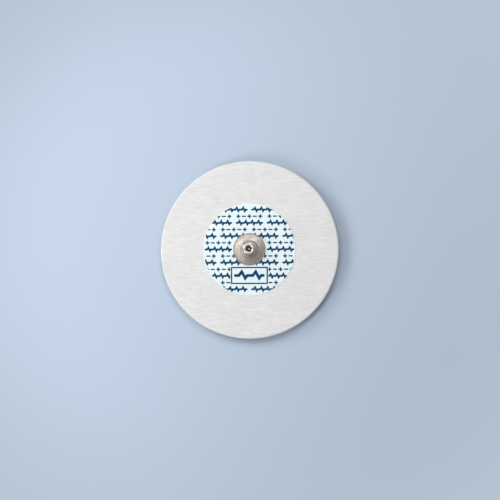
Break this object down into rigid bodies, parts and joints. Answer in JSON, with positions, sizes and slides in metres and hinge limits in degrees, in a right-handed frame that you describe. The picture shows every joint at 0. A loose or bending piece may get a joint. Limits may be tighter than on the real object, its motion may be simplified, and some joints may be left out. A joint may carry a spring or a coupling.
{
  "type": "ecg electrode",
  "caption": "Round disposable foam electrode for electrocardiograms: adhesive disc, soaked gel sponge, coated sensor, printed label and metal snap stud, on a clear cupped release liner.",
  "frame": {"origin": "centre of the flat foot of the release liner's cup, on which the electrode lies", "axes": "+Z along the snap stud's axis, away from the skin; +Y towards the top of the label, with its framed panel on the -Y side of the stud; +X to the label's right"},
  "size_m": [0.055, 0.055, 0.0066],
  "materials": {
    "foam": "soft matte white closed-cell foam with a fine crosswise skin texture",
    "adhesive": "tacky clear skin adhesive, glossy",
    "clear_liner": "clear glossy pressed polyester sheet",
    "label_film": "smooth white printed film",
    "blue_ink": "flat blue printing ink",
    "nickel": "drawn nickel-plated metal, satin with fine turned rings",
    "sensor_coating": "dull grey silver and silver chloride coating on plastic",
    "gel_sponge": "open-cell sponge soaked in clear gel, wet"
  },
  "bodies": {
    "root": {"foam_backing": "foam", "skin_adhesive": "adhesive", "release_liner": "clear_liner", "label": "label_film", "label_print": "blue_ink", "snap_stud": "nickel", "sensor_eyelet": "sensor_coating", "gel_sponge": "gel_sponge"}
  },
  "joints": []
}
